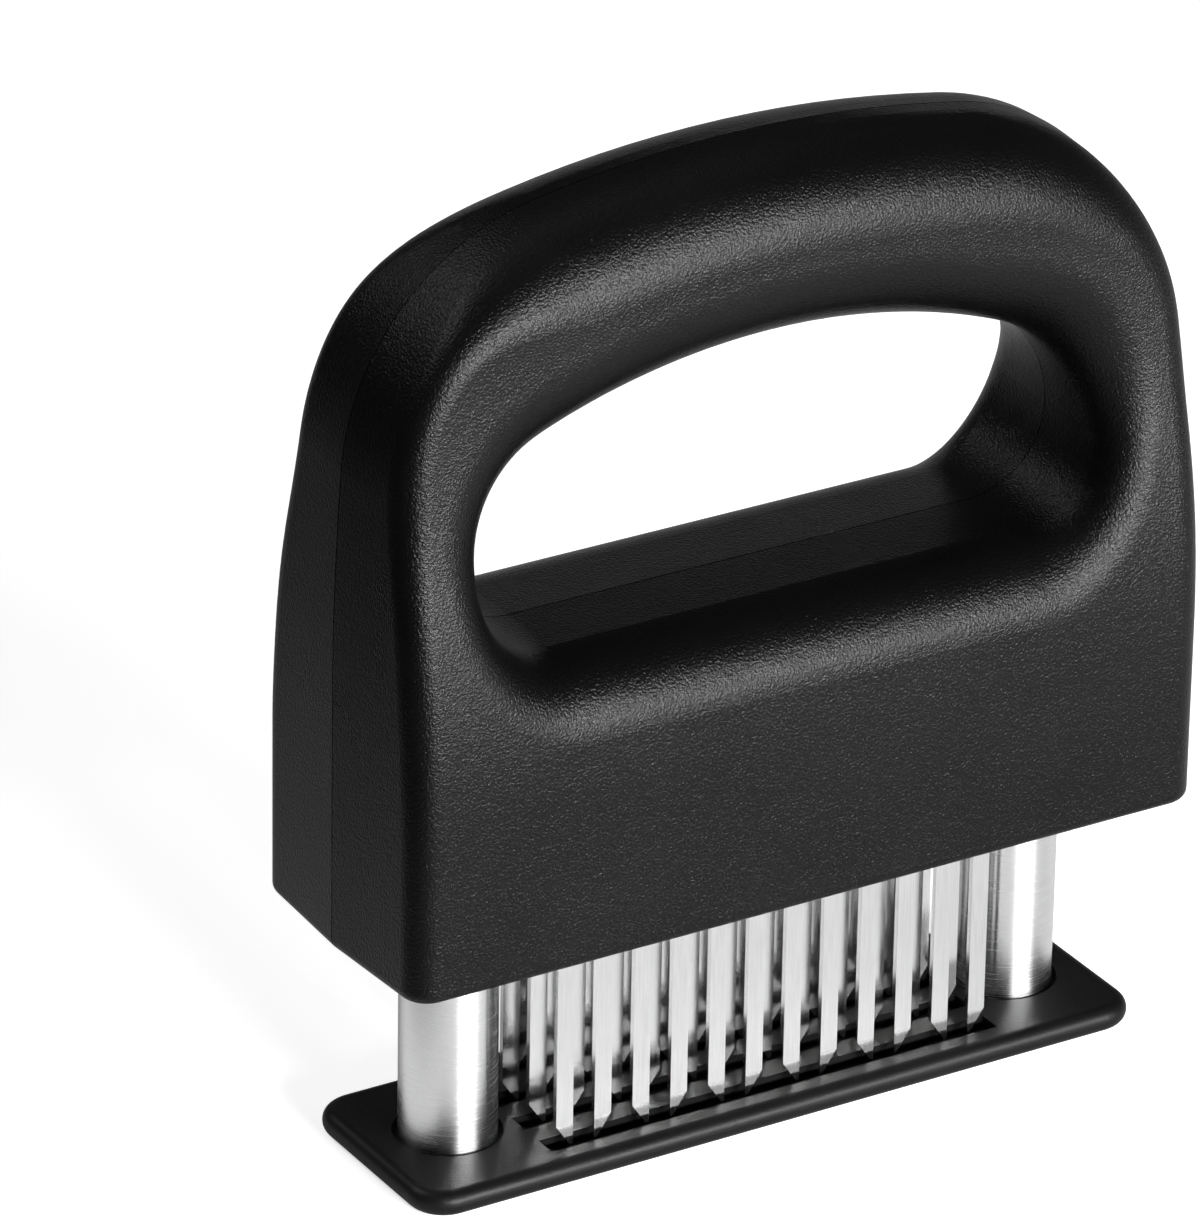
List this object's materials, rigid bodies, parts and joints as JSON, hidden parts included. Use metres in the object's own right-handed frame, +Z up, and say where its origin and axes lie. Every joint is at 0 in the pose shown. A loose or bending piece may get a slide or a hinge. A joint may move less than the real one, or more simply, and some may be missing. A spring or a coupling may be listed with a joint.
{
  "type": "blade meat tenderizer",
  "caption": "Hand-held blade meat tenderizer with a closed grip, sprung steel posts, rows of flat blades and a slotted guard plate.",
  "frame": {"origin": "middle of the guard plate's underside, on which the tool stands", "axes": "+X along the grip, +Y towards the rear shell, +Z up through the grip"},
  "size_m": [0.1194, 0.0392, 0.1342],
  "materials": {
    "housing_plastic": "fine spark-textured black",
    "plate_plastic": "satin black",
    "slide_plastic": "satin black",
    "bar_plastic": "satin dark grey",
    "blade_steel": "satin stainless",
    "post_steel": "polished stainless tube",
    "spring_steel": "drawn spring wire",
    "screw_steel": "plain stainless"
  },
  "bodies": {
    "guard": {"guard_plate": "plate_plastic", "lock_slide": "slide_plastic", "left_post": "post_steel", "left_retaining_ring": "spring_steel", "left_foot_screw": "screw_steel", "left_spring": "spring_steel", "right_post": "post_steel", "right_retaining_ring": "spring_steel", "right_foot_screw": "screw_steel", "right_spring": "spring_steel"},
    "blade_head": {"front_shell": "housing_plastic", "rear_shell": "housing_plastic", "front_blade_bar": "bar_plastic", "front_blades": "blade_steel", "front_middle_blade_bar": "bar_plastic", "front_middle_blades": "blade_steel", "rear_middle_blade_bar": "bar_plastic", "rear_middle_blades": "blade_steel", "rear_blade_bar": "bar_plastic", "rear_blades": "blade_steel", "left_cross_pin": "screw_steel", "right_cross_pin": "screw_steel"}
  },
  "joints": [
    {"name": "head_press", "type": "slide", "parent": "guard", "child": "blade_head", "axis": [0, 0, 1], "range_m": [-0.025, 0], "stiffness_N_per_m": 700, "springref_m": 0.012, "deforming": ["left_spring", "right_spring"]}
  ]
}
